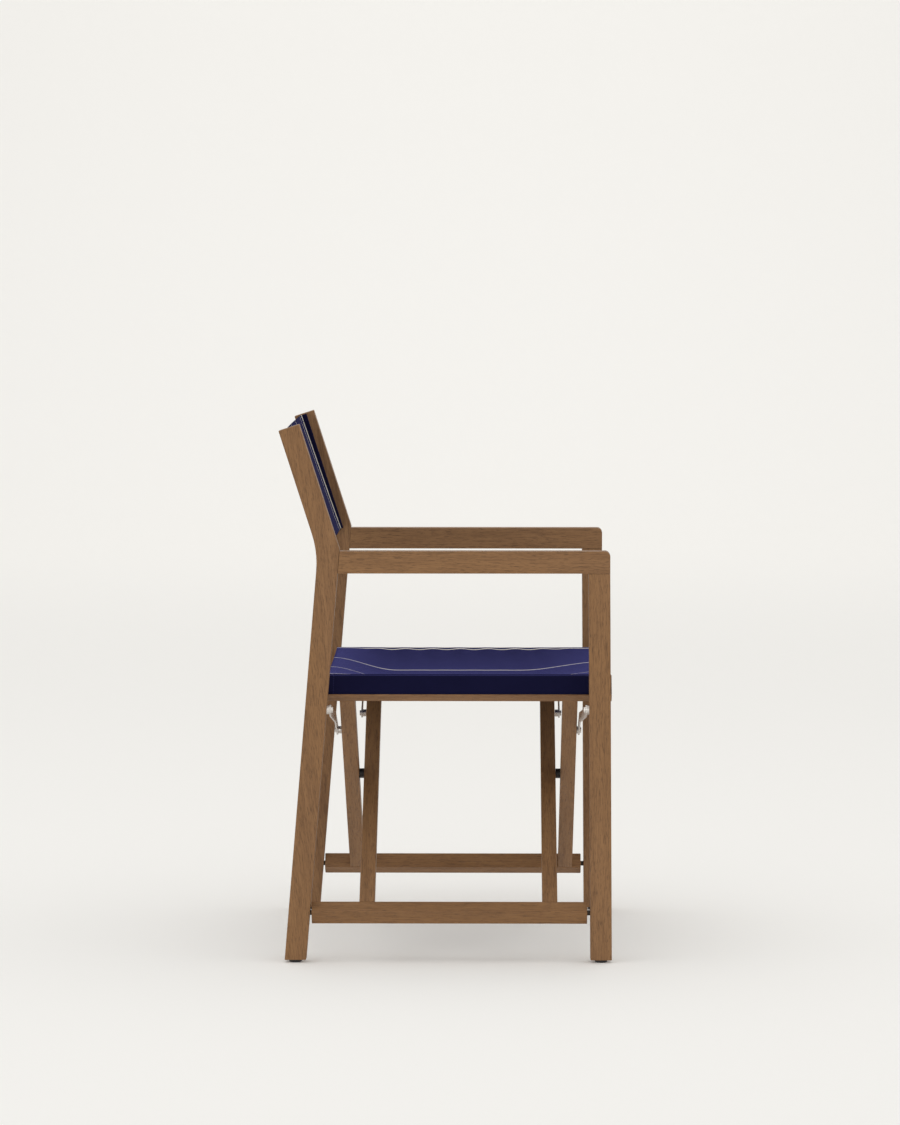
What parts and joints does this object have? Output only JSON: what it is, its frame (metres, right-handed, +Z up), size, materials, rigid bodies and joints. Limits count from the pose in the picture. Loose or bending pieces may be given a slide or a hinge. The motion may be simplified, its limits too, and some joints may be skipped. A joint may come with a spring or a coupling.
{
  "type": "folding director chair",
  "caption": "Folding wooden director chair with arms, crossed bars and a striped fabric seat and back.",
  "frame": {"origin": "on the floor, under the middle of the open chair", "axes": "+Z up, +X to the sitter's front, +Y to the sitter's left"},
  "size_m": [0.523, 0.5858, 0.8487],
  "materials": {
    "wood": "open-grained brown hardwood, oiled",
    "pale_wood": "plain pale hardwood",
    "nickel": "bright nickel plate",
    "black_plastic": "black moulded plastic",
    "navy_canvas": "navy woven canvas with thin cream stripes"
  },
  "bodies": {
    "right_frame": {"back_sling": "navy_canvas", "right_arm_front_dowel": "pale_wood", "right_arm_rear_dowel": "pale_wood", "right_armrest": "wood", "right_back_batten": "pale_wood", "right_front_glide": "black_plastic", "right_front_leg": "wood", "right_front_link_leg_screw": "nickel", "right_front_link_washer": "nickel", "right_front_rail_pin": "nickel", "right_rear_glide": "black_plastic", "right_rear_link_leg_screw": "nickel", "right_rear_link_washer": "nickel", "right_rear_post": "wood", "right_rear_rail_pin": "nickel"},
    "left_frame": {"left_arm_front_dowel": "pale_wood", "left_arm_rear_dowel": "pale_wood", "left_armrest": "wood", "left_back_batten": "pale_wood", "left_front_glide": "black_plastic", "left_front_leg": "wood", "left_front_link_leg_screw": "nickel", "left_front_link_washer": "nickel", "left_front_rail_pin": "nickel", "left_rear_glide": "black_plastic", "left_rear_link_leg_screw": "nickel", "left_rear_link_washer": "nickel", "left_rear_post": "wood", "left_rear_rail_pin": "nickel"},
    "inner_cross": {"inner_front_bar": "wood", "inner_rear_bar": "wood", "left_seat_hem_rod": "pale_wood", "left_seat_rail": "wood", "right_bottom_rail": "wood"},
    "outer_cross": {"front_pivot_bolt": "nickel", "front_pivot_nut": "nickel", "front_pivot_spacer": "black_plastic", "left_bottom_rail": "wood", "outer_front_bar": "wood", "outer_rear_bar": "wood", "rear_pivot_bolt": "nickel", "rear_pivot_nut": "nickel", "rear_pivot_spacer": "black_plastic", "right_seat_hem_rod": "pale_wood", "right_seat_rail": "wood", "seat_sling": "navy_canvas"},
    "right_rear_link": {"right_rear_link_bar_screw": "nickel", "right_rear_link_spacer": "nickel", "right_rear_link_strap": "nickel"},
    "right_front_link": {"right_front_link_bar_screw": "nickel", "right_front_link_spacer": "nickel", "right_front_link_strap": "nickel"},
    "left_rear_link": {"left_rear_link_bar_screw": "nickel", "left_rear_link_spacer": "nickel", "left_rear_link_strap": "nickel"},
    "left_front_link": {"left_front_link_bar_screw": "nickel", "left_front_link_spacer": "nickel", "left_front_link_strap": "nickel"}
  },
  "joints": [
    {"name": "fold", "type": "hinge", "parent": "right_frame", "child": "inner_cross", "pos_m": [0, -0.276, 0.078], "axis": [1, 0, 0], "range_deg": [0, 37.81], "deforming": ["seat_sling", "back_sling"]},
    {"name": "cross_pivot", "type": "hinge", "parent": "inner_cross", "child": "outer_cross", "pos_m": [0, 0, 0.26557], "axis": [1, 0, 0], "range_deg": [-80, 0]},
    {"name": "left_frame_turn", "type": "hinge", "parent": "outer_cross", "child": "left_frame", "pos_m": [0, 0.276, 0.078], "axis": [1, 0, 0], "range_deg": [0, 38]},
    {"name": "right_rear_link_turn", "type": "hinge", "parent": "right_frame", "child": "right_rear_link", "pos_m": [0, -0.276, 0.39955], "axis": [1, 0, 0], "range_deg": [0, 84]},
    {"name": "right_front_link_turn", "type": "hinge", "parent": "right_frame", "child": "right_front_link", "pos_m": [0, -0.276, 0.39955], "axis": [1, 0, 0], "range_deg": [0, 84]},
    {"name": "left_rear_link_turn", "type": "hinge", "parent": "left_frame", "child": "left_rear_link", "pos_m": [0, 0.276, 0.39955], "axis": [1, 0, 0], "range_deg": [-84, 0]},
    {"name": "left_front_link_turn", "type": "hinge", "parent": "left_frame", "child": "left_front_link", "pos_m": [0, 0.276, 0.39955], "axis": [1, 0, 0], "range_deg": [-84, 0]}
  ],
  "couplings": [
    {"joint": "cross_pivot", "follows": "fold", "ratio": -2.1053},
    {"joint": "left_frame_turn", "follows": "fold", "ratio": 1},
    {"joint": "right_rear_link_turn", "follows": "fold", "ratio": 2.1968},
    {"joint": "right_front_link_turn", "follows": "fold", "ratio": 2.1968},
    {"joint": "left_rear_link_turn", "follows": "fold", "ratio": -2.1968},
    {"joint": "left_front_link_turn", "follows": "fold", "ratio": -2.1968}
  ]
}
